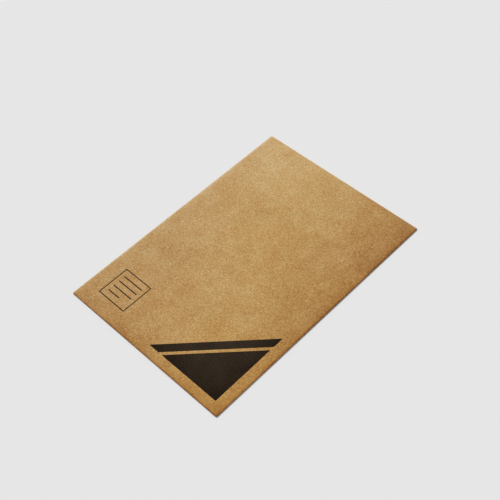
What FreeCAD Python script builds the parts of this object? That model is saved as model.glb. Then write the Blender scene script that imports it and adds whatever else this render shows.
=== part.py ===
"""Kraft paper pocket envelope, ISO C4, folded from one sheet and closed but not stuck down.

The envelope lies on its back with the printed face up. Millimetres throughout. The origin is
under the middle of the face, on the plane it lies on. +X runs to the right of the face, +Y to
the end with the closing flap, +Z out of the printed face.
"""
import FreeCAD, Part
import math
import os
import Sketcher

# Driving sizes
SIZES = {
    "face_width": 229.0,  # over the two side folds
    "face_length": 324.0,  # bottom fold to flap crease
    "paper": 0.25,  # thickness of the kraft sheet
    "pocket_gap": 0.4,  # air inside the side folds, between the face and the seam tabs
    "flap_gap": 0.1,  # air between the back panel and the folded flap
    "seam_width": 13.6,  # side fold to the inner edge of a seam tab
    "seam_corner": 10.0,  # rounding of a seam tab where it shows in the mouth
    "seam_foot": 9.0,  # height of the slanted lower end of a seam tab
    "fold_relief": 0.3,  # notch of the die cut where a side fold meets an end fold
    "back_setback": 0.35,  # back panel edge to where the side fold starts to bend
    "mouth_depth": 22.8,  # flap crease to the upper edge of the back panel
    "flap_overlap": 11.2,  # flap past the upper edge of the back panel
    "flap_taper": 8.4,  # flap narrows by this much on each side
    "ink": 0.05,  # film of printing ink
    "print_side_margin": 13.4,  # right side fold to the corner print
    "print_foot_margin": 12.0,  # bottom fold to the corner print
    "triangle_leg": 81.0,  # both legs of the solid triangle
    "stripe_start": 5.2,  # bare band between triangle and stripe, along a leg
    "stripe_run": 14.1,  # printed stripe, along a leg
    "box_side_margin": 20.6,  # left side fold to the sender's box
    "box_foot_margin": 21.0,  # bottom fold to the sender's box
    "box_width": 41.7,  # sender's box, over its line
    "box_height": 41.9,  # sender's box, over its line
    "box_line": 1.2,  # width of the box line
    "rule_inset": 5.0,  # box line to the ends of the writing rules
    "rule_height": 1.4,  # width of a writing rule
    "rule_short": 11.0,  # the lowest rule stops this much earlier
}
RULE_COUNT = 4  # writing rules in the sender's box

doc = FreeCAD.newDocument("envelope")
sheet = doc.addObject("Spreadsheet::Sheet", "Sizes")
for row, (alias, millimetres) in enumerate(SIZES.items(), start=1):
    sheet.set(f"A{row}", alias)
    sheet.set(f"B{row}", str(millimetres))
    sheet.setAlias(f"B{row}", alias)
doc.recompute()


class Length:
    """A length in millimetres that keeps its sheet expression beside its number."""

    def __init__(self, number, text):
        self.number = number
        self.text = text

    @staticmethod
    def of(value):
        """Wrap a plain number, and pass a Length through."""
        return value if isinstance(value, Length) else Length(float(value), repr(float(value)))

    def joined(self, other, sign, number):
        """Write both expressions round a sign."""
        return Length(number, f"({self.text} {sign} {other.text})")

    def __add__(self, other):
        other = Length.of(other)
        return self.joined(other, "+", self.number + other.number)

    def __sub__(self, other):
        other = Length.of(other)
        return self.joined(other, "-", self.number - other.number)

    def __mul__(self, factor):
        factor = Length.of(factor)
        return self.joined(factor, "*", self.number * factor.number)

    def __truediv__(self, divisor):
        divisor = Length.of(divisor)
        return self.joined(divisor, "/", self.number / divisor.number)

    def __neg__(self):
        return Length(-self.number, f"(-1 * {self.text})")


def size(alias):
    """The Length of one cell of the sheet."""
    return Length(SIZES[alias], f"Sizes.{alias}")


ORIGIN = Length(0.0, "0.0")

# Heights of the layers, from the flap that the envelope lies on up to its face
flap_top = size("paper")
back_bottom = flap_top + size("flap_gap")
back_top = back_bottom + size("paper")
tab_top = back_top + size("paper")
face_bottom = tab_top + size("pocket_gap")
face_top = face_bottom + size("paper")

# Each fold turns the sheet by half a circle between two layers
side_bend = (face_top - back_top) / 2
foot_bend = (face_top - back_bottom) / 2
crease_bend = face_top / 2

half_width = size("face_width") / 2
half_length = size("face_length") / 2
side_bend_x = half_width - side_bend
panel_half_width = side_bend_x - size("back_setback")
foot_bend_y = foot_bend - half_length
crease_bend_y = half_length - crease_bend
tab_inner_x = half_width - size("seam_width")
tab_foot_y = foot_bend_y + size("fold_relief")
tab_head_y = crease_bend_y - size("fold_relief")
mouth_y = half_length - size("mouth_depth")


class Corner:
    """A corner of an outline; with a centre, the edge that leaves it is an arc about it."""

    def __init__(self, across, up, centre=None, clockwise=False):
        self.across = across
        self.up = up
        self.centre = centre
        self.clockwise = clockwise

    def point(self):
        """The corner in the sketch plane, as numbers."""
        return FreeCAD.Vector(self.across.number, self.up.number, 0)


def draw_edge(sketch, corner, following):
    """Draw one edge and return its number and which of its ends is the start and the finish."""
    start = corner.point()
    finish = following.point()
    if corner.centre is None:
        return sketch.addGeometry(Part.LineSegment(start, finish)), 1, 2
    middle = FreeCAD.Vector(corner.centre[0].number, corner.centre[1].number, 0)
    if corner.clockwise:
        start, finish = finish, start
    first = math.atan2(start.y - middle.y, start.x - middle.x)
    last = math.atan2(finish.y - middle.y, finish.x - middle.x)
    circle = Part.Circle(middle, FreeCAD.Vector(0, 0, 1), (start - middle).Length)
    edge = sketch.addGeometry(Part.ArcOfCircle(circle, first, last))
    return (edge, 2, 1) if corner.clockwise else (edge, 1, 2)


def pin_point(sketch, kind, edge, end, length):
    """Hold one coordinate of a point at a length from the sketch origin."""
    number = sketch.addConstraint(Sketcher.Constraint(kind, -1, 1, edge, end, length.number))
    sketch.setExpression(f"Constraints[{number}]", length.text)


def draw_outline(sketch, corners):
    """Draw a closed outline through the corners and bind every corner to the sheet."""
    edges = []
    for corner, following in zip(corners, corners[1:] + corners[:1]):
        edges.append(draw_edge(sketch, corner, following))
    for place, corner in enumerate(corners):
        edge, start, _ = edges[place]
        before, _, finish = edges[place - 1]
        sketch.addConstraint(Sketcher.Constraint("Coincident", before, finish, edge, start))
        pin_point(sketch, "DistanceX", edge, start, corner.across)
        pin_point(sketch, "DistanceY", edge, start, corner.up)
        if corner.centre is not None:
            pin_point(sketch, "DistanceX", edge, 3, corner.centre[0])


def add_sketch(body, name, plane, offset, outlines):
    """Attach a sketch to one of the body's own origin planes and draw its outlines."""
    support = [feature for feature in body.Origin.OriginFeatures if feature.Role == plane]
    sketch = body.newObject("Sketcher::SketchObject", name)
    sketch.AttachmentSupport = [(support[0], "")]
    sketch.MapMode = "FlatFace"
    sketch.setExpression("AttachmentOffset.Base.z", offset.text)
    for corners in outlines:
        draw_outline(sketch, corners)
    return sketch


def add_pad(body, name, sketch, length, both_ways=False):
    """Thicken a sketch along its normal, or by half the length to each side."""
    pad = body.newObject("PartDesign::Pad", name)
    pad.Profile = sketch
    pad.Midplane = both_ways
    pad.setExpression("Length", length.text)
    return pad


def add_body(name):
    """Start a body whose label is its node's name."""
    body = doc.addObject("PartDesign::Body", name)
    body.Label = name
    return body


def rectangle(left, bottom, right, top):
    """The four corners of a rectangle."""
    return [Corner(left, bottom), Corner(right, bottom), Corner(right, top), Corner(left, top)]


# The sheet: the face with a fold and a seam tab along each side
envelope = add_body("envelope")


def cross_section():
    """The sheet cut across: tab, side fold, face, side fold, tab."""
    left_bend = -side_bend_x
    bend_height = back_top + side_bend
    return [
        Corner(-tab_inner_x, back_top),
        Corner(-tab_inner_x, tab_top),
        Corner(left_bend, tab_top, (left_bend, bend_height), True),
        Corner(left_bend, face_bottom),
        Corner(side_bend_x, face_bottom, (side_bend_x, bend_height), True),
        Corner(side_bend_x, tab_top),
        Corner(tab_inner_x, tab_top),
        Corner(tab_inner_x, back_top),
        Corner(side_bend_x, back_top, (side_bend_x, bend_height)),
        Corner(side_bend_x, face_top),
        Corner(left_bend, face_top, (left_bend, bend_height)),
        Corner(left_bend, back_top),
    ]


# This sketch plane faces -Y, so it stands at the upper end and the pad runs down from it
cross_sketch = add_sketch(envelope, "cross_section", "XZ_Plane", -tab_head_y, [cross_section()])
add_pad(envelope, "face_and_tabs", cross_sketch, tab_head_y - tab_foot_y)


def tab_trims(side):
    """What the die cuts off one seam tab: a rounded upper corner and a slanted foot."""
    inner = tab_inner_x * side
    bend = side_bend_x * side
    round_start = tab_head_y - size("seam_corner")
    round_end = (tab_inner_x + size("seam_corner")) * side
    rounded = [
        Corner(inner, round_start, (round_end, round_start), side > 0),
        Corner(round_end, tab_head_y),
        Corner(inner, tab_head_y),
    ]
    slanted = [
        Corner(inner, tab_foot_y),
        Corner(bend, tab_foot_y),
        Corner(inner, tab_foot_y + size("seam_foot")),
    ]
    return [rounded, slanted]


trim_sketch = add_sketch(envelope, "tab_trims", "XY_Plane", tab_top, tab_trims(-1) + tab_trims(1))
trim = envelope.newObject("PartDesign::Pocket", "trimmed_tabs")
trim.Profile = trim_sketch
trim.setExpression("Length", size("paper").text)


def long_section():
    """The sheet cut along: back panel, bottom fold, face, flap crease."""
    foot_height = back_bottom + foot_bend
    return [
        Corner(mouth_y, back_bottom),
        Corner(mouth_y, back_top),
        Corner(foot_bend_y, back_top, (foot_bend_y, foot_height), True),
        Corner(foot_bend_y, face_bottom),
        Corner(crease_bend_y, face_bottom, (crease_bend_y, crease_bend), True),
        Corner(crease_bend_y, flap_top),
        Corner(crease_bend_y, ORIGIN, (crease_bend_y, crease_bend)),
        Corner(crease_bend_y, face_top),
        Corner(foot_bend_y, face_top, (foot_bend_y, foot_height)),
        Corner(foot_bend_y, back_bottom),
    ]


long_sketch = add_sketch(envelope, "long_section", "YZ_Plane", ORIGIN, [long_section()])
add_pad(envelope, "back_and_crease", long_sketch, panel_half_width * 2, both_ways=True)


def flap_outline():
    """The closing flap, which narrows towards its straight edge."""
    edge_y = mouth_y - size("flap_overlap")
    edge_x = panel_half_width - size("flap_taper")
    return [
        Corner(-edge_x, edge_y),
        Corner(edge_x, edge_y),
        Corner(panel_half_width, crease_bend_y),
        Corner(-panel_half_width, crease_bend_y),
    ]


flap_sketch = add_sketch(envelope, "flap_outline", "XY_Plane", ORIGIN, [flap_outline()])
add_pad(envelope, "closing_flap", flap_sketch, size("paper"))


# The print: thin films of dark ink on the face
def add_print(name, outlines):
    """Print outlines on the face, as one body."""
    body = add_body(name)
    body.AllowCompound = True
    sketch = add_sketch(body, f"{name}_outline", "XY_Plane", face_top, outlines)
    add_pad(body, f"{name}_film", sketch, size("ink"))
    return body


print_corner_x = half_width - size("print_side_margin")
print_corner_y = size("print_foot_margin") - half_length
stripe_inner = size("triangle_leg") + size("stripe_start")
stripe_outer = stripe_inner + size("stripe_run")

triangle = [
    Corner(print_corner_x, print_corner_y),
    Corner(print_corner_x, print_corner_y + size("triangle_leg")),
    Corner(print_corner_x - size("triangle_leg"), print_corner_y),
]
stripe = [
    Corner(print_corner_x - stripe_inner, print_corner_y),
    Corner(print_corner_x, print_corner_y + stripe_inner),
    Corner(print_corner_x, print_corner_y + stripe_outer),
    Corner(print_corner_x - stripe_outer, print_corner_y),
]

# The sender's box and its writing rules
box_left = size("box_side_margin") - half_width
box_foot = size("box_foot_margin") - half_length
box_right = box_left + size("box_width")
box_head = box_foot + size("box_height")
line = size("box_line")
box_edges = [
    rectangle(box_left, box_foot, box_right, box_head),
    rectangle(box_left + line, box_foot + line, box_right - line, box_head - line),
]


def writing_rule(place):
    """One rule of the sender's box; place 1 is the lowest and the shortest."""
    pitch = (size("box_height") - line * 2) / (RULE_COUNT + 1)
    middle = box_foot + line + pitch * place
    left = box_left + line + size("rule_inset")
    right = box_right - line - size("rule_inset")
    if place == 1:
        right = right - size("rule_short")
    half = size("rule_height") / 2
    return rectangle(left, middle - half, right, middle + half)


bodies = [
    envelope,
    add_print("corner_triangle", [triangle]),
    add_print("corner_stripe", [stripe]),
    add_print("sender_box", box_edges),
    add_print("writing_rules", [writing_rule(place) for place in range(1, RULE_COUNT + 1)]),
]
doc.recompute()

# Every object has to be whole before anything is written
for item in doc.Objects:
    if "Invalid" in item.State or "Error" in item.State:
        raise RuntimeError(f"{item.Label} failed: {item.State}")
    if item.TypeId == "Sketcher::SketchObject" and not item.FullyConstrained:
        raise RuntimeError(f"{item.Label} isn't fully constrained")
for body in bodies:
    if body.Shape.isNull() or not body.Shape.isValid() or not body.Shape.Solids:
        raise RuntimeError(f"{body.Label} has no valid solid")

os.makedirs("parts", exist_ok=True)
for body in bodies:
    body.Shape.exportStep(os.path.join("parts", f"{body.Label}.step"))
    print(f"{body.Label}: {len(body.Shape.Solids)} solid(s), {body.Shape.Volume:.1f} mm3")
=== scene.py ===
"""Kraft paper pocket envelope, closed, lying face up on a pale studio floor.

The sheet is modelled as it is made: a flat blank is cut to its outline, laid round its folds and
given the thickness of the paper. +X is the right of the printed face, +Y the end with the closing
flap, +Z out of the face. Lengths are metres, and named sizes are written in millimetres.
"""
import logging
import math
from dataclasses import dataclass
from enum import Enum
from typing import Iterable

import bmesh
import bpy
from mathutils import Matrix, Vector


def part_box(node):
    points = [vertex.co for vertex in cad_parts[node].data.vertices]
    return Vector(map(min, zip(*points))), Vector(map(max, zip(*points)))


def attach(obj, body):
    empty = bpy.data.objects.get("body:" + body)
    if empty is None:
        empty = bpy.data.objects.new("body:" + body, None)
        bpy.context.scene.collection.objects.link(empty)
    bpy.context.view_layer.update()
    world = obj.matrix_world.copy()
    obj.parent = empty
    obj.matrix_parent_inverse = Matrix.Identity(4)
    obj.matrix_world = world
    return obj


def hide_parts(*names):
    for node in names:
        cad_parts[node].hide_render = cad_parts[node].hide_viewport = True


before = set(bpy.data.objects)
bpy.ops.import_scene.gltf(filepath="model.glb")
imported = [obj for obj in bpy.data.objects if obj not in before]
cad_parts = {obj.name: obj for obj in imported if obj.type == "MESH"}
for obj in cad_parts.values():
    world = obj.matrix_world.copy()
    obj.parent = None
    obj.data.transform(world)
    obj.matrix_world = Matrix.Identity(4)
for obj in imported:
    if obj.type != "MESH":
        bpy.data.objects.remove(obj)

MM = 0.001
WELD = 1e-7  # points nearer than this are one point
BODY = "root"
Colour = tuple[float, float, float, float]
Shade = tuple[int, int, int]
log = logging.getLogger("envelope")


class Panel(Enum):
    """The two sides of the sheet and its cut, as places in the piece's list of materials."""

    OUTSIDE = 0
    INSIDE = 1
    CUT = 2


class Side(Enum):
    """The two long sides of the envelope, as the sign of X."""

    LEFT = -1
    RIGHT = 1


def paint(red: int, green: int, blue: int) -> Colour:
    """Turn a colour as it is seen on a screen into the linear colour that a shader takes.

    Args:
        red: the red part, 0 to 255.
        green: the green part, 0 to 255.
        blue: the blue part, 0 to 255.

    Returns:
        The linear red, green, blue and alpha.
    """
    def linear(part: float) -> float:
        """Undo the screen's curve for one part."""
        return part / 12.92 if part <= 0.04045 else ((part + 0.055) / 1.055) ** 2.4

    return linear(red / 255), linear(green / 255), linear(blue / 255), 1.0


def placed(name: str, data: bpy.types.ID) -> bpy.types.Object:
    """Make an object and put it in the scene.

    Args:
        name: the object's name.
        data: its mesh, light or camera.

    Returns:
        The new object.
    """
    thing = bpy.data.objects.new(name, data)
    bpy.context.scene.collection.objects.link(thing)
    return thing


def meshed(name: str, shape: bmesh.types.BMesh) -> bpy.types.Mesh:
    """Turn a finished shape into a mesh.

    Args:
        name: the mesh's name.
        shape: the shape, which is freed.

    Returns:
        The new mesh.
    """
    mesh = bpy.data.meshes.new(name)
    shape.to_mesh(mesh)
    shape.free()
    return mesh


class Value:
    """A shader socket that takes part in Python arithmetic."""

    def __init__(self, graph: "Graph", socket: bpy.types.NodeSocket) -> None:
        """Wrap one output socket of a graph."""
        self.graph = graph
        self.socket = socket

    def beside(self, name: str) -> "Value":
        """Another output of the same node."""
        return Value(self.graph, self.socket.node.outputs[name])

    def maths(self, operation: str, first: object, second: object) -> "Value":
        """Add one Math node.

        Args:
            operation: the node's operation.
            first: a Value or a number.
            second: a Value or a number.

        Returns:
            The node's result.
        """
        return self.graph.add("ShaderNodeMath", {"operation": operation}, {0: first, 1: second})

    def __add__(self, other: object) -> "Value":
        """self + other"""
        return self.maths("ADD", self, other)

    def __radd__(self, other: object) -> "Value":
        """other + self"""
        return self.maths("ADD", other, self)

    def __sub__(self, other: object) -> "Value":
        """self - other"""
        return self.maths("SUBTRACT", self, other)

    def __rsub__(self, other: object) -> "Value":
        """other - self"""
        return self.maths("SUBTRACT", other, self)

    def __mul__(self, other: object) -> "Value":
        """self * other"""
        return self.maths("MULTIPLY", self, other)

    def __rmul__(self, other: object) -> "Value":
        """other * self"""
        return self.maths("MULTIPLY", other, self)

    def __truediv__(self, other: object) -> "Value":
        """self / other"""
        return self.maths("DIVIDE", self, other)

    def __pow__(self, other: object) -> "Value":
        """self ** other"""
        return self.maths("POWER", self, other)

    def absolute(self) -> "Value":
        """The value without its sign."""
        return self.maths("ABSOLUTE", self, 0.0)

    def between(self, low: float, high: float) -> "Value":
        """Rise smoothly from 0 at low to 1 at high, or fall where low is the larger.

        Args:
            low: the value that gives 0.
            high: the value that gives 1.

        Returns:
            The share of the way, 0 to 1.
        """
        return self.graph.add(
            "ShaderNodeMapRange",
            {"interpolation_type": "SMOOTHSTEP"},
            {"Value": self, "From Min": low, "From Max": high},
        )

    def limited(self) -> "Value":
        """Keep the value from 0 to 1."""
        return self.graph.add("ShaderNodeClamp", {}, {"Value": self})

    def fading(self, reach: float) -> "Value":
        """Fall in a straight line from 1 at 0 to 0 at the reach."""
        return (1 - self / reach).limited()


class Graph:
    """The node tree of one material or of the world."""

    noise_roughness = 0.55

    def __init__(self, tree: bpy.types.NodeTree) -> None:
        """Start from an empty tree."""
        self.tree = tree
        tree.nodes.clear()

    def add(
        self,
        kind: str,
        settings: dict[str, object] | None = None,
        inputs: dict[str | int, object] | None = None,
        output: str | int = 0,
    ) -> Value | None:
        """Add one node.

        Args:
            kind: the node's type.
            settings: properties of the node, set first; "stops" fills a colour ramp.
            inputs: a Value or a constant for each named or numbered input socket.
            output: the output socket that is returned.

        Returns:
            The chosen output, or None for a node that has none.
        """
        node = self.tree.nodes.new(kind)
        for name, setting in (settings or {}).items():
            if name == "stops":
                self.fill_ramp(node.color_ramp, setting)
            else:
                setattr(node, name, setting)
        for name, given in (inputs or {}).items():
            if isinstance(given, Value):
                self.tree.links.new(given.socket, node.inputs[name])
            else:
                node.inputs[name].default_value = given
        return Value(self, node.outputs[output]) if node.outputs else None

    @staticmethod
    def fill_ramp(ramp: bpy.types.ColorRamp, stops: Iterable[tuple[float, tuple]]) -> None:
        """Give a ramp its stops.

        Args:
            ramp: the ramp of a new node, which has two stops.
            stops: place and colour of each stop, in order.
        """
        stops = list(stops)
        while len(ramp.elements) < len(stops):
            ramp.elements.new(1.0)
        for element, (place, colour) in zip(ramp.elements, stops):
            element.position = place
            element.color = colour

    def place(self) -> Value:
        """The point on the object, in metres in its own frame."""
        return self.add("ShaderNodeTexCoord", {}, {}, "Object")

    def parts(self, place: Value) -> tuple[Value, Value, Value]:
        """The point's places along X, Y and Z."""
        x = self.add("ShaderNodeSeparateXYZ", {}, {"Vector": place}, "X")
        return x, x.beside("Y"), x.beside("Z")

    def laid(self, place: Value, degrees: float, size: tuple[float, float, float]) -> Value:
        """Turn a point about Z into a pattern's own axes and measure it in the pattern's sizes.

        Args:
            place: the point.
            degrees: the heading of the pattern's own X.
            size: how far one unit of the pattern reaches along each of its axes.

        Returns:
            The point in the pattern.
        """
        return self.add(
            "ShaderNodeMapping",
            {"vector_type": "TEXTURE"},
            {"Vector": place, "Rotation": (0.0, 0.0, math.radians(degrees)), "Scale": size},
        )

    def noise(self, place: Value, size: float, detail: float) -> Value:
        """Even noise about zero.

        Args:
            place: the point to read it at.
            size: the width of its patches, in the units of the point.
            detail: how many finer layers it has.

        Returns:
            A value from about -0.5 to 0.5.
        """
        settings = {"noise_dimensions": "3D"}
        inputs = {
            "Vector": place,
            "Scale": 1 / size,
            "Detail": detail,
            "Roughness": self.noise_roughness,
        }
        return self.add("ShaderNodeTexNoise", settings, inputs) - 0.5

    def ramp(self, value: Value, stops: Iterable[tuple[float, tuple]]) -> Value:
        """Colour a value by a ramp."""
        return self.add("ShaderNodeValToRGB", {"stops": stops}, {"Fac": value})

    def mix(self, share: object, first: object, second: object, blend: str = "MIX") -> Value:
        """Mix two colours.

        Args:
            share: how much of the second is taken, 0 to 1.
            first: a colour.
            second: a colour.
            blend: the way they are mixed.

        Returns:
            The mixed colour.
        """
        settings = {"data_type": "RGBA", "blend_type": blend}
        return self.add("ShaderNodeMix", settings, {0: share, 6: first, 7: second}, 2)

    def bump(self, height: Value, depth: float) -> Value:
        """Turn a height from 0 to 1 into a surface relief of that depth in metres."""
        return self.add("ShaderNodeBump", {}, {"Height": height, "Distance": depth, "Strength": 1.0})

    def finish(self, colour: object, roughness: object, gloss: float, relief: Value | None) -> None:
        """End the graph in a matt surface.

        Args:
            colour: the base colour.
            roughness: the roughness.
            gloss: the specular level, the same all over.
            relief: the surface's normal, or None for a smooth one.
        """
        inputs = {"Base Color": colour, "Roughness": roughness, "Specular IOR Level": gloss}
        if relief is not None:
            inputs["Normal"] = relief
        shader = self.add("ShaderNodeBsdfPrincipled", {}, inputs)
        self.add("ShaderNodeOutputMaterial", {}, {"Surface": shader})


def new_material(name: str) -> tuple[bpy.types.Material, Graph]:
    """Start a material.

    Args:
        name: the material's name.

    Returns:
        The material and its empty graph.
    """
    material = bpy.data.materials.new(name)
    material.use_nodes = True
    return material, Graph(material.node_tree)


@dataclass(frozen=True)
class Layer:
    """One layer of mottling, by the width of its patches and how strongly it shows."""

    size: float
    strength: float
    detail: float = 2.0
    shift: tuple[float, float, float] = (0.0, 0.0, 0.0)  # where the sheet lies in the pattern

    def over(self, graph: Graph, place: Value) -> Value:
        """Read the layer at a point.

        Args:
            graph: the material's graph.
            place: the point.

        Returns:
            The layer's share of the tone.
        """
        if any(self.shift):
            moved = {0: place, 1: self.shift}
            place = graph.add("ShaderNodeVectorMath", {"operation": "ADD"}, moved)
        return graph.noise(place, self.size, self.detail) * self.strength


@dataclass(frozen=True)
class Slope:
    """A smooth change over the face: its value in the middle and how it grows per metre."""

    middle: float
    across: float = 0.0  # towards +X
    along: float = 0.0  # towards +Y
    twist: float = 0.0  # across and along together, per square metre
    crown: float = 0.0  # away from the middle line, per square metre

    def over(self, x: Value, y: Value) -> Value:
        """The value at a place on the face."""
        return x * (y * self.twist + x * self.crown + self.across) + y * self.along + self.middle


@dataclass(frozen=True)
class Fibres:
    """Families of fibres, each with its own heading in degrees."""

    headings: tuple[float, ...]
    length: float
    breadth: float
    softness: float = 0.07  # how far above the level of rarity a single fibre is whole

    def families(self, graph: Graph, place: Value, detail: float) -> list[Value]:
        """Streaked noise for each heading.

        Args:
            graph: the material's graph.
            place: the point.
            detail: how many finer layers it has.

        Returns:
            One even noise about zero for each family.
        """
        size = (self.length, self.breadth, self.breadth)
        return [graph.noise(graph.laid(place, turn, size), 1.0, detail) for turn in self.headings]

    def felted(self, graph: Graph, place: Value) -> Value:
        """All the families laid over each other, as even noise about zero."""
        return sum(self.families(graph, place, 3.0)) * len(self.headings) ** -0.5

    def scattered(self, graph: Graph, place: Value, rarity: float) -> Value:
        """Single fibres: 0 between them and 1 on one.

        Args:
            graph: the material's graph.
            place: the point.
            rarity: the noise level above which a fibre shows.

        Returns:
            The cover, 0 to 1.
        """
        families = self.families(graph, place, 1.0)
        whole = rarity + self.softness
        return sum(family.between(rarity, whole) for family in families).limited()


@dataclass(frozen=True)
class Border:
    """How the sheet changes towards a fold or a corner of the face, widely and close to it."""

    wide: float  # added to the tone over the wide reach
    wide_reach: float
    close: float  # added to the tone over the close reach
    close_reach: float
    rosiness: float = 0.0  # added to the hue over the wide reach
    scorch: float = 0.0  # how far the tint is saturated over the close reach; along the right and foot folds this is painted shade


@dataclass(frozen=True)
class BackMarks:
    """Faint lines on the back: a painted shadow just outside the flap's outline, a paler rubbed line
    on the flap's border, and a painted highlight over the edge of each seam tab.
    """

    flap_edge: float
    flap_taper: float
    half_width: float
    half_length: float
    seam: float
    level: float = 0.8 * MM  # the marks are whole below this height
    level_blend: float = 0.08 * MM  # and gone this much above it
    painted_flap_shadow: float = -0.6  # painted shadow: the soft dark line just outside the flap
    painted_flap_shadow_reach: float = 1.3 * MM
    rub: float = 0.24  # the paler line on the flap's own border
    rub_reach: float = 1.0 * MM
    painted_seam_highlight: float = 0.14  # painted highlight: the pale line over the edge of each seam tab
    painted_seam_highlight_reach: float = 1.2 * MM
    edge: float = 0.01 * MM  # how sharply the flap's outline parts inside from outside

    def tone(self, graph: Graph, x: Value, y: Value, z: Value) -> Value:
        """The change of tone that the marks make.

        Args:
            graph: the material's graph; not used.
            x: place across, in metres.
            y: place along.
            z: height.

        Returns:
            What is added to the tone.
        """
        slope = self.flap_taper / (self.half_length - self.flap_edge)
        side = self.half_width - (self.half_length - y) * slope - x.absolute()
        within = side.maths("MINIMUM", side, y - self.flap_edge)
        beyond = within.between(self.edge, -self.edge)
        away = within.absolute()
        painted_flap_shadow = away.fading(self.painted_flap_shadow_reach) * beyond
        rub = away.fading(self.rub_reach) * (1 - beyond)
        painted_seam_highlight = (x.absolute() - self.seam).absolute().fading(self.painted_seam_highlight_reach) * beyond
        below = z.between(self.level + self.level_blend, self.level)
        return below * (painted_flap_shadow * self.painted_flap_shadow + rub * self.rub + painted_seam_highlight * self.painted_seam_highlight)


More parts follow.
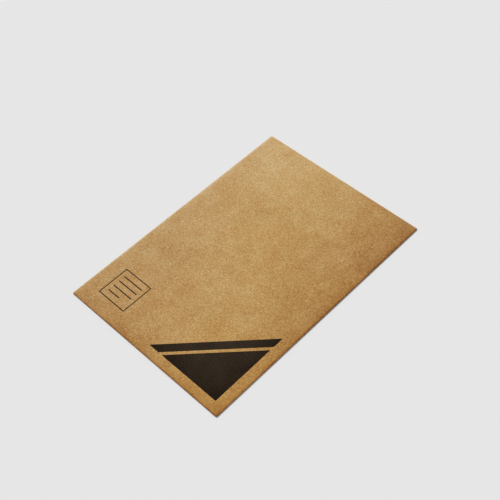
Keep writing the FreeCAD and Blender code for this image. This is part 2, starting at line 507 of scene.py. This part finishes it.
@dataclass(frozen=True)
class KraftPaper:
    """Unbleached kraft paper: one tone from deep orange-brown to pale straw, clouded and fibrous.

    The tone falls towards the right and the foot, with painted shade along those folds, and rises
    towards the left and the head, with a painted highlight along those folds. Over the whole face,
    painted light makes the tone paler towards the left and the head. The hue drifts from golden to
    rosy, the dark flecks are ruddy and the pale ones straw, and a fine neutral grit lies over all.
    """

    name: str
    half_width: float
    half_length: float
    marks: BackMarks
    deepest: Shade = (118, 73, 33)
    deep: Shade = (150, 101, 50)
    middle: Shade = (175, 132, 76)
    light: Shade = (191, 154, 98)
    palest: Shade = (207, 177, 127)
    rosy: Colour = (1.0, 1.026, 1.185, 1.0)
    golden: Colour = (1.0, 0.975, 0.845, 1.0)
    # deeper orange tint: painted shade along the right and foot folds, and also laid towards the
    # corner at the right of the foot
    saturated: Colour = (1.0, 0.88, 0.70, 1.0)
    ruddy: Colour = (1.0, 0.94, 0.92, 1.0)
    straw: Colour = (1.0, 1.06, 1.08, 1.0)
    flecking: float = 2.5  # how fast the dark flecks turn ruddy and the pale ones straw
    dim: Colour = (0.40, 0.34, 0.06, 1.0)  # the grit's darkest
    bright: Colour = (1.60, 1.66, 1.94, 1.0)  # the grit's palest
    # painted light: the slopes make the face paler towards the left and the head
    tone: Slope = Slope(0.698, -0.965, 0.326, -8.66, -9.53)
    hue: Slope = Slope(-0.005, -0.70, 0.05, 8.9, 5.8)  # golden below 0, rosy above
    hue_range: float = 0.25
    clouds: Layer = Layer(70 * MM, 0.36, 3.0, (-0.778, 0.310, 0.0))
    mottle: Layer = Layer(20 * MM, 0.28, 2.0, (0.472, -0.240, 0.0))
    grain: Layer = Layer(2.8 * MM, 0.22, 3.0)
    grit: Layer = Layer(1.2 * MM, 1.3, 1.0)
    grit_calm: float = 0.45  # how far the grit fades from the deepest tone to the palest
    ragged: Layer = Layer(6 * MM, 3 * MM, 3.0)  # shifts the borders to and fro
    blush: Layer = Layer(95 * MM, 0.30, 2.0, (-0.958, -0.830, 0.0))
    felt: Fibres = Fibres((8.0, 53.0, 98.0, 143.0), 2.5 * MM, 0.62 * MM)
    felt_strength: float = 0.9
    dark_fibres: Fibres = Fibres((17.0, 74.0, 131.0), 2.8 * MM, 0.22 * MM)
    dark_strength: float = 0.22
    dark_rarity: float = 0.155
    pale_fibres: Fibres = Fibres((42.0, 103.0, 166.0), 2.8 * MM, 0.22 * MM)
    pale_strength: float = 0.10
    pale_rarity: float = 0.14
    flatness: float = 0.04  # clouds are flattened to this share, so face and back differ
    tooth: float = 0.010 * MM
    relief: tuple[float, float, float, float] = (0.9, 0.4, 0.3, -0.2)  # grit, felt, pale, dark
    roughness: float = 0.94
    smoothing: float = 0.08  # how much less rough the palest tone is
    gloss: float = 0.12
    # painted shade darkens the right and foot borders, and a painted highlight pales the left and
    # head borders, most at the folds
    right: Border = Border(-0.06, 16 * MM, -0.36, 3.6 * MM, -0.08, 1.0)
    foot: Border = Border(-0.16, 34 * MM, -0.30, 3.0 * MM, -0.06, 0.6)
    left: Border = Border(0.10, 9 * MM, 0.25, 3.7 * MM, 0.15)
    head: Border = Border(-0.01, 8 * MM, 0.12, 2.6 * MM, 0.08)
    left_foot_corner: Border = Border(0.16, 80 * MM, 0.0, 1 * MM, 0.2)  # paler and rosier towards the corner at the left of the foot
    right_foot_corner: Border = Border(0.05, 60 * MM, 0.0, 190 * MM, 0.0, 0.42)  # a little paler and more saturated towards the corner at the right of the foot

    def stops(self) -> list[tuple[float, tuple]]:
        """The ramp from the deepest to the palest tone."""
        shades = (self.deepest, self.deep, self.middle, self.light, self.palest)
        return [(step / (len(shades) - 1), paint(*shade)) for step, shade in enumerate(shades)]

    def borders(self, graph: Graph, place: Value, x: Value, y: Value) -> tuple[Value, Value, Value]:
        """The changes along the four folds of the face and at its two lower corners.

        Args:
            graph: the material's graph.
            place: the point.
            x: its place across.
            y: its place along.

        Returns:
            What is added to the tone, what is added to the hue, and how saturated the tint is. Along
            the right and foot folds they are painted shade, along the left and head folds a painted
            highlight.
        """
        ragged = self.ragged.over(graph, place)
        from_right = self.half_width - x
        from_left = x + self.half_width
        from_foot = y + self.half_length
        inwards = {
            self.right: from_right,
            self.left: from_left,
            self.foot: from_foot,
            self.head: self.half_length - y,
            self.left_foot_corner: from_left + from_foot,
            self.right_foot_corner: from_right + from_foot,
        }
        tone, hue, scorch = 0.0, 0.0, 0.0
        for border, distance in inwards.items():
            wide = (distance + ragged).fading(border.wide_reach) ** 2
            close = (distance + ragged).fading(border.close_reach) ** 2
            tone = tone + wide * border.wide + close * border.close
            hue = hue + wide * border.rosiness
            scorch = scorch + close * border.scorch
        return tone, hue, scorch.limited()

    def make(self) -> bpy.types.Material:
        """Build the material.

        Returns:
            The new material.
        """
        material, graph = new_material(self.name)
        place = graph.place()
        x, y, z = graph.parts(place)
        flattened = graph.laid(place, 0.0, (1.0, 1.0, self.flatness))
        felt = self.felt.felted(graph, place)
        fleck = self.mottle.over(graph, flattened) + self.grain.over(graph, place)
        fleck = fleck + felt * self.felt_strength
        # the tone's slope over the face is painted light
        tone = self.tone.over(x, y) + self.clouds.over(graph, flattened) + fleck
        dark = self.dark_fibres.scattered(graph, place, self.dark_rarity)
        pale = self.pale_fibres.scattered(graph, place, self.pale_rarity)
        tone = tone - dark * self.dark_strength + pale * self.pale_strength
        # rim_tone and rim_hue carry painted shade along the right and foot folds and a painted
        # highlight along the left and head folds
        rim_tone, rim_hue, scorch = self.borders(graph, place, x, y)
        tone = (tone + rim_tone + self.marks.tone(graph, x, y, z)).limited()
        hue = self.hue.over(x, y) + self.blush.over(graph, flattened) + rim_hue
        tint = graph.mix(hue.between(-self.hue_range, self.hue_range), self.golden, self.rosy)
        tint = graph.mix(scorch, tint, self.saturated)
        flecks = graph.mix((fleck * self.flecking + 0.5).limited(), self.ruddy, self.straw)
        grit = self.grit.over(graph, place) * (1 - tone * self.grit_calm)
        grain = graph.mix((grit + 0.5).limited(), self.dim, self.bright)
        colour = graph.ramp(tone, self.stops())
        for layer in (tint, flecks, grain):
            colour = graph.mix(1.0, colour, layer, "MULTIPLY")
        parts = zip((grit, felt, pale, dark), self.relief)
        height = sum(part * share for part, share in parts) + 0.5
        roughness = self.roughness - tone * self.smoothing
        graph.finish(colour, roughness, self.gloss, graph.bump(height, self.tooth))
        return material


@dataclass(frozen=True)
class PrintingInk:
    """Warm black ink that lets the tooth of the paper through, darkened by painted shade towards the
    right and the bottom fold.
    """

    half_width: float
    half_length: float
    name: str = "printing_ink"
    thick: Shade = (29, 19, 9)
    thin: Shade = (51, 41, 31)
    bare: Shade = (92, 74, 52)
    wear: float = 0.48  # 0 where the ink is thick, 1 where it is nearly bare
    shade: float = -0.56  # painted shade, added to the wear towards the right and the bottom fold
    shade_reach: float = 48 * MM
    clouds: Layer = Layer(24 * MM, 0.5, 3.0)
    mottle: Layer = Layer(1.6 * MM, 1.05)
    speck: Layer = Layer(0.55 * MM, 0.6)
    pinholes: Layer = Layer(1.1 * MM, 1.0)
    pinhole_levels: tuple[float, float] = (0.24, 0.34)  # a pinhole opens between these
    pinhole_wear: float = 0.15
    tooth: float = 0.008 * MM
    roughness: float = 0.84
    speck_roughness: float = 0.2
    gloss: float = 0.05

    def make(self) -> bpy.types.Material:
        """Build the material.

        Returns:
            The new material.
        """
        material, graph = new_material(self.name)
        place = graph.place()
        x, y, _ = graph.parts(place)
        # painted shade: the ink darkens towards the right and the bottom fold
        right = (self.half_width - x).fading(self.shade_reach) ** 2
        foot = (y + self.half_length).fading(self.shade_reach) ** 2
        speck = self.speck.over(graph, place)
        pinholes = self.pinholes.over(graph, place).between(*self.pinhole_levels)
        wear = self.wear + (right + foot) * self.shade + speck
        wear = wear + self.clouds.over(graph, place) + self.mottle.over(graph, place)
        wear = (wear + pinholes * self.pinhole_wear).limited()
        stops = [(0.0, paint(*self.thick)), (0.6, paint(*self.thin)), (1.0, paint(*self.bare))]
        roughness = self.roughness + speck * self.speck_roughness
        relief = graph.bump(speck + 0.5, self.tooth)
        graph.finish(graph.ramp(wear, stops), roughness, self.gloss, relief)
        return material


@dataclass(frozen=True)
class StudioGround:
    """Plain pale ground that fills the view."""

    name: str = "studio_ground"
    colour: Shade = (231, 231, 231)

    def make(self) -> bpy.types.Material:
        """Build the material.

        Returns:
            The new material.
        """
        material, graph = new_material(self.name)
        graph.finish(paint(*self.colour), 1.0, 0.0, None)
        return material


@dataclass(frozen=True)
class Fold:
    """An arc of the sheet's middle line that turns it back under itself."""

    outermost: float
    upper: float
    lower: float
    lean: float

    @property
    def radius(self) -> float:
        """Radius of the middle line."""
        return (self.upper - self.lower) / (1 + math.cos(self.lean))

    @property
    def start(self) -> float:
        """Where the arc begins, measured from the middle of the face."""
        return self.outermost - self.radius * (1 - math.sin(self.lean))

    @property
    def arc(self) -> float:
        """Length of the arc."""
        return self.radius * (math.pi - self.lean)

    def blank_place(self, reach: float) -> float:
        """Where a point of the turned-back layer lies on the flat blank.

        Args:
            reach: the point's distance from the middle of the folded envelope.

        Returns:
            Its distance from the middle of the flat blank.
        """
        return self.start + self.arc + (self.start - self.radius * math.sin(self.lean) - reach)

    def turn(self, distance: float) -> tuple[float, float]:
        """Lay a point of the blank round the fold.

        Args:
            distance: how far past the start of the arc it is on the blank.

        Returns:
            Its reach from the middle, and its height.
        """
        angle = self.lean + min(distance, self.arc) / self.radius
        reach = self.start + self.radius * (math.sin(angle) - math.sin(self.lean))
        height = self.upper - self.radius * (math.cos(self.lean) - math.cos(angle))
        return reach - max(0.0, distance - self.arc), height


def soft_step(value: float) -> float:
    """Rise smoothly from 0 at 0 to 1 at 1, flat outside."""
    value = min(1.0, max(0.0, value))
    return value * value * (3 - 2 * value)


@dataclass
class FoldedSheet:
    """The envelope's one sheet, from flat blank to closed envelope. Sizes are metres."""

    width: float
    length: float
    thickness: float
    clearance: float = 0.004 * MM  # keeps the piece inside the frame's box
    paper: float = 0.25 * MM
    flap_gap: float = 0.1 * MM
    glue: float = 0.01 * MM
    seam_width: float = 13.6 * MM
    seam_corner: float = 10.0 * MM
    seam_foot: float = 9.0 * MM
    strip_setback: float = 0.8 * MM  # back panel, crease and flap inside the side folds
    end_relief: float = 0.9 * MM  # side folds inside the two end folds
    mouth_depth: float = 22.8 * MM
    flap_depth: float = 34.0 * MM
    flap_taper: float = 8.4 * MM
    edge_drop: float = 0.33 * MM  # the face is pressed down by this much at its folds
    edge_reach: float = 12.0 * MM
    back_sag: float = 0.25 * MM  # the back panel hangs by this much between the seams
    sag_reach: float = 25.0 * MM
    arc_steps: int = 8
    corner_steps: int = 8
    edge_lines: tuple[float, ...] = (0.5, 1.2, 2.0, 3.0, 4.2, 5.6, 7.2, 9.0, 12.0)  # mm from a fold
    line_spacing: float = 14 * MM
    tab_line: float = 1 * MM  # a line this far inside the seam tabs' edges

    def __post_init__(self) -> None:
        """Work out the layers and the folds."""
        half = self.paper / 2
        lean = math.atan(2 * self.edge_drop / self.edge_reach)
        inset = half + self.clearance
        self.flap_level = inset
        self.back_level = self.flap_level + self.paper + self.flap_gap
        self.tab_level = self.back_level + self.paper + self.glue
        self.face_level = self.thickness - half
        rim_level = self.face_level - self.edge_drop
        self.side = Fold(self.width / 2 - inset, rim_level, self.tab_level, lean)
        self.foot = Fold(self.length / 2 - inset, rim_level, self.back_level, lean)
        self.crease = Fold(self.length / 2 - inset, rim_level, self.flap_level, lean)
        self.strip = self.width / 2 - self.strip_setback
        self.tab_reach = self.width / 2 - self.seam_width
        self.tab_end = self.length / 2 - self.end_relief
        self.mouth = self.length / 2 - self.mouth_depth
        self.flap_edge = self.length / 2 - self.flap_depth
        self.blank_side = self.side.blank_place(self.tab_reach)
        self.blank_foot = self.foot.blank_place(-self.mouth)
        self.blank_head = self.crease.blank_place(self.flap_edge)

    def build(self) -> bpy.types.Object:
        """Cut, fold, thicken and dress the sheet.

        Returns:
            The finished piece.
        """
        shape = bmesh.new()
        self.rule(shape)
        self.cut_outline(shape)
        for point in shape.verts:
            point.co = self.folded(point.co.x, point.co.y)
        self.thicken(shape)
        mesh = meshed("folded_sheet", shape)
        self.dress(mesh)
        piece = placed("folded_sheet", mesh)
        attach(piece, BODY)
        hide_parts("envelope")
        flat = (2 * self.blank_side / MM, (self.blank_head + self.blank_foot) / MM)
        log.info("folded_sheet: blank %.1f x %.1f mm, %d faces", *flat, len(mesh.polygons))
        return piece

    def dress(self, mesh: bpy.types.Mesh) -> None:
        """Give the mesh its three finishes, in the order of Panel.

        Args:
            mesh: the sheet's mesh.
        """
        marks = BackMarks(
            flap_edge=self.flap_edge,
            flap_taper=self.flap_taper,
            half_width=self.strip,
            half_length=self.length / 2,
            seam=self.tab_reach,
        )
        shared = (self.width / 2, self.length / 2, marks)
        finishes = {
            Panel.OUTSIDE: KraftPaper("kraft_outside", *shared),
            Panel.INSIDE: KraftPaper(
                "kraft_inside",
                *shared,
                deepest=(104, 68, 44),
                deep=(132, 92, 62),
                middle=(156, 117, 84),
                light=(178, 140, 105),
                palest=(196, 163, 130),
            ),
            Panel.CUT: KraftPaper("kraft_cut_edge", *shared, tone=Slope(0.86)),
        }
        for panel in Panel:
            mesh.materials.append(finishes[panel].make())

    def rule(self, shape: bmesh.types.BMesh) -> None:
        """Start from one rectangle and rule it where the sheet will bend.

        Args:
            shape: the empty mesh.
        """
        bmesh.ops.create_grid(shape, x_segments=1, y_segments=1, size=1.0)
        middle = (self.blank_head - self.blank_foot) / 2
        scale = Vector((self.blank_side, (self.blank_head + self.blank_foot) / 2, 1.0))
        bmesh.ops.scale(shape, vec=scale, verts=shape.verts)
        bmesh.ops.translate(shape, vec=(0.0, middle, 0.0), verts=shape.verts)
        across = self.fold_lines(self.side) + [self.strip, self.tab_reach - self.tab_line]
        across += self.even_lines(0.0, self.tab_reach)
        for line in sorted(set(across)):
            self.slice(shape, (line, 0.0, 0.0), (1.0, 0.0, 0.0))
            self.slice(shape, (-line, 0.0, 0.0), (1.0, 0.0, 0.0))
        up = self.fold_lines(self.crease) + [self.tab_end, self.tab_end - self.seam_corner]
        up += self.even_lines(0.0, self.crease.start - self.edge_reach)
        up += self.even_lines(self.crease.start + self.crease.arc, self.blank_head)
        down = self.fold_lines(self.foot) + [self.tab_end, self.tab_end - self.seam_foot]
        down += self.even_lines(0.0, self.foot.start - self.edge_reach)
        down += self.even_lines(self.foot.start + self.foot.arc, self.blank_foot)
        for line in sorted(set(up)) + [-line for line in sorted(set(down))]:
            self.slice(shape, (0.0, line, 0.0), (0.0, 1.0, 0.0))

    def fold_lines(self, fold: Fold) -> list[float]:
        """Lines round an arc and over the pressed edge inside it.

        Args:
            fold: the fold that the lines are for.

        Returns:
            The place of each line on the blank, from the middle of the face.
        """
        inside = [fold.start - line * MM for line in self.edge_lines]
        steps = range(self.arc_steps + 1)
        return inside + [fold.start + fold.arc * step / self.arc_steps for step in steps]

    def even_lines(self, start: float, finish: float) -> list[float]:
        """Evenly spaced lines strictly between two places, and one at the start."""
        count = max(2, round((finish - start) / self.line_spacing))
        return [start + (finish - start) * step / count for step in range(count)]

    @staticmethod
    def slice(
        shape: bmesh.types.BMesh,
        point: tuple[float, float, float],
        outwards: tuple[float, float, float],
        faces: list[bmesh.types.BMFace] | None = None,
    ) -> None:
        """Cut along a plane; with faces given, cut only those and drop what lies outwards.

        Args:
            shape: the mesh.
            point: a point of the plane.
            outwards: the plane's normal.
            faces: the faces to trim, or None to rule the whole mesh.
        """
        if faces is None:
            parts = [*shape.verts, *shape.edges, *shape.faces]
        else:
            edges = {edge for face in faces for edge in face.edges}
            corners = {corner for face in faces for corner in face.verts}
            parts = [*corners, *edges, *faces]
        bmesh.ops.bisect_plane(
            shape,
            geom=parts,
            dist=WELD,
            plane_co=point,
            plane_no=outwards,
            clear_outer=faces is not None,
        )

    def cut_outline(self, shape: bmesh.types.BMesh) -> None:
        """Cut the blank's outline: notches at the corners, tapered flap, shaped tabs.

        Args:
            shape: the ruled rectangle.
        """
        waste = [
            face
            for face in shape.faces
            if abs(face.calc_center_median().x) > self.strip
            and abs(face.calc_center_median().y) > self.tab_end
        ]
        bmesh.ops.delete(shape, geom=waste, context="FACES")
        for side in Side:
            self.trim_flap(shape, side)
            self.trim_tab(shape, side)

    def trim_flap(self, shape: bmesh.types.BMesh, side: Side) -> None:
        """Taper one side of the flap.

        Args:
            shape: the blank.
            side: the side to taper.
        """
        start = self.crease.start + self.crease.arc
        flap = [face for face in shape.faces if face.calc_center_median().y > start]
        run = self.blank_head - start
        outwards = (side.value * run, self.flap_taper, 0.0)
        self.slice(shape, (side.value * self.strip, start, 0.0), outwards, flap)

    def trim_tab(self, shape: bmesh.types.BMesh, side: Side) -> None:
        """Slant the lower end of one seam tab and round its upper corner.

        Args:
            shape: the blank.
            side: the side that the tab is on.
        """
        sign = side.value
        start = self.side.start + self.side.arc
        wide = self.blank_side - start
        outwards = (sign * self.seam_foot, -wide, 0.0)
        self.slice(shape, (sign * start, -self.tab_end, 0.0), outwards, self.tab(shape, side))
        radius = self.seam_corner
        for step in range(self.corner_steps):
            angle = math.pi / 2 * (step + 0.5) / self.corner_steps
            outwards = (sign * math.cos(angle), math.sin(angle), 0.0)
            touch = (
                sign * (self.blank_side - radius + radius * math.cos(angle)),
                self.tab_end - radius + radius * math.sin(angle),
                0.0,
            )
            self.slice(shape, touch, outwards, self.tab(shape, side))

    def tab(self, shape: bmesh.types.BMesh, side: Side) -> list[bmesh.types.BMFace]:
        """The faces of one seam tab on the blank."""
        start = self.side.start + self.side.arc
        return [face for face in shape.faces if side.value * face.calc_center_median().x > start]

    def folded(self, across: float, up: float) -> Vector:
        """Where a point of the flat blank lies in the closed envelope.

        Args:
            across: the point's place across the blank.
            up: its place along the blank.

        Returns:
            The point of the sheet's middle surface.
        """
        if abs(across) > self.side.start:
            reach, height = self.side.turn(abs(across) - self.side.start)
            return Vector((math.copysign(reach, across), up, height))
        if up > self.crease.start:
            reach, height = self.crease.turn(up - self.crease.start)
            return Vector((across, reach, height))
        if -up > self.foot.start:
            reach, height = self.foot.turn(-up - self.foot.start)
            return Vector((across, -reach, height - self.sag(across, -reach)))
        return Vector((across, up, self.face_height(across, up)))

    def face_height(self, across: float, up: float) -> float:
        """Height of the face: level in the middle, pressed down along its folds.

        Args:
            across: place across the face.
            up: place along the face.

        Returns:
            The height of the sheet's middle surface.
        """
        def pressed(distance: float) -> float:
            """How far the face is pressed at a distance from a fold, from 0 to 1."""
            return max(0.0, 1 - distance / self.edge_reach) ** 2

        side = pressed(self.side.start - abs(across))
        end = pressed(self.foot.start + up) + pressed(self.crease.start - up)
        return self.face_level - self.edge_drop * (1 - (1 - side) * (1 - end))

    def sag(self, across: float, up: float) -> float:
        """How far the back panel hangs below its seams.

        Args:
            across: place across the back.
            up: place along the back.

        Returns:
            The drop, 0 at the seams, the foot and the flap.
        """
        side = soft_step((self.tab_reach - abs(across)) / self.sag_reach)
        foot = soft_step((self.foot.start + up) / self.sag_reach)
        flap = soft_step((self.flap_edge - up) / self.sag_reach)
        return self.back_sag * side * foot * flap

    def thicken(self, shape: bmesh.types.BMesh) -> None:
        """Give the sheet its thickness, half to each side of its middle surface.

        Args:
            shape: the folded sheet.
        """
        bmesh.ops.recalc_face_normals(shape, faces=shape.faces)
        shape.normal_update()
        if max(shape.faces, key=lambda face: face.calc_center_median().z).normal.z < 0:
            bmesh.ops.reverse_faces(shape, faces=shape.faces)
            shape.normal_update()
        half = self.paper / 2
        for point in shape.verts:
            point.co += point.normal * half * point.calc_shell_factor()
        outer = set(shape.verts)
        bmesh.ops.solidify(shape, geom=list(shape.faces), thickness=self.paper)
        for face in shape.faces:
            outside = sum(corner in outer for corner in face.verts)
            if outside == len(face.verts):
                panel = Panel.OUTSIDE
            elif outside == 0:
                panel = Panel.INSIDE
            else:
                panel = Panel.CUT
            face.material_index = panel.value
            face.smooth = panel is not Panel.CUT
        for edge in shape.edges:
            kinds = {face.material_index for face in edge.link_faces}
            edge.smooth = len(kinds) == 1


@dataclass(frozen=True)
class Studio:
    """Ground, light and the camera's place."""

    ground_half: float = 8.0
    ground_level: float = -0.05 * MM
    key_strength: float = 2.55
    key_elevation: float = 42.0
    key_heading: tuple[float, float] = (-0.93, 0.37)
    key_softness: float = 16.0
    fill_strength: float = 0.45
    camera_place: tuple[float, float, float] = (482.07, -420.26, 830.44)  # mm
    camera_aim: tuple[float, float, float] = (-7.83, 12.52, 1.5)  # mm
    camera_roll: float = -5.615  # degrees
    focal_length: float = 66.81  # mm
    sensor_width: float = 36.0  # mm
    camera_range: tuple[float, float] = (0.05, 50.0)  # how near and how far it sees

    def lay_ground(self) -> None:
        """Lay the ground."""
        shape = bmesh.new()
        bmesh.ops.create_grid(shape, x_segments=1, y_segments=1, size=self.ground_half)
        bmesh.ops.translate(shape, vec=(0.0, 0.0, self.ground_level), verts=shape.verts)
        mesh = meshed("studio_ground", shape)
        mesh.materials.append(StudioGround().make())
        placed("studio_ground", mesh)

    def light(self) -> None:
        """Add the soft key light and the even light of the room."""
        key = bpy.data.lights.new("key_light", "SUN")
        key.energy = self.key_strength
        key.angle = math.radians(self.key_softness)
        lamp = placed("key_light", key)
        heading = Vector((*self.key_heading, 0.0)).normalized()
        up = Vector((0.0, 0.0, math.tan(math.radians(self.key_elevation))))
        lamp.rotation_euler = (heading + up).to_track_quat("Z", "Y").to_euler()
        world = bpy.data.worlds.new("studio_room")
        bpy.context.scene.world = world
        world.use_nodes = True
        graph = Graph(world.node_tree)
        path = graph.add("ShaderNodeLightPath", {}, {}, "Is Camera Ray")
        seen = (path + path.beside("Is Glossy Ray") + path.beside("Is Transmission Ray")).limited()
        white = {"Color": paint(255, 255, 255), "Strength": self.fill_strength}
        room = graph.add("ShaderNodeBackground", {}, white)
        pale = {"Color": paint(*StudioGround().colour), "Strength": 1.0}
        backdrop = graph.add("ShaderNodeBackground", {}, pale)
        mixed = graph.add("ShaderNodeMixShader", {}, {0: seen, 1: room, 2: backdrop})
        graph.add("ShaderNodeOutputWorld", {}, {"Surface": mixed})

    def set_camera(self) -> None:
        """Place the camera at the photograph's angle."""
        data = bpy.data.cameras.new("camera")
        data.lens = self.focal_length
        data.sensor_width = self.sensor_width
        data.clip_start, data.clip_end = self.camera_range
        camera = placed("camera", data)
        place = Vector(self.camera_place) * MM
        towards = Vector(self.camera_aim) * MM - place
        turn = towards.to_track_quat("-Z", "Y").to_matrix().to_4x4()
        roll = Matrix.Rotation(math.radians(self.camera_roll), 4, "Z")
        camera.matrix_world = Matrix.Translation(place) @ turn @ roll
        bpy.context.scene.camera = camera


@dataclass
class FacePrint:
    """The print on the face: the frame's own thin films, dressed in ink."""

    width: float
    length: float
    films: tuple[str, ...] = ("corner_triangle", "corner_stripe", "sender_box", "writing_rules")

    def dress(self) -> None:
        """Ink each film."""
        ink = PrintingInk(self.width / 2, self.length / 2).make()
        for name in self.films:
            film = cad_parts[name]
            film.data.materials.clear()
            film.data.materials.append(ink)
            log.info("%s: inked", name)


def main() -> None:
    """Build the envelope and its studio."""
    logging.basicConfig(level=logging.INFO, format="%(name)s %(message)s")
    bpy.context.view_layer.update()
    low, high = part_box("envelope")
    width, length, thickness = high - low
    FoldedSheet(width, length, thickness).build()
    FacePrint(width, length).dress()
    studio = Studio()
    studio.lay_ground()
    studio.light()
    studio.set_camera()
    bpy.context.scene.view_settings.view_transform = "Standard"


if __name__ == "__main__":
    main()
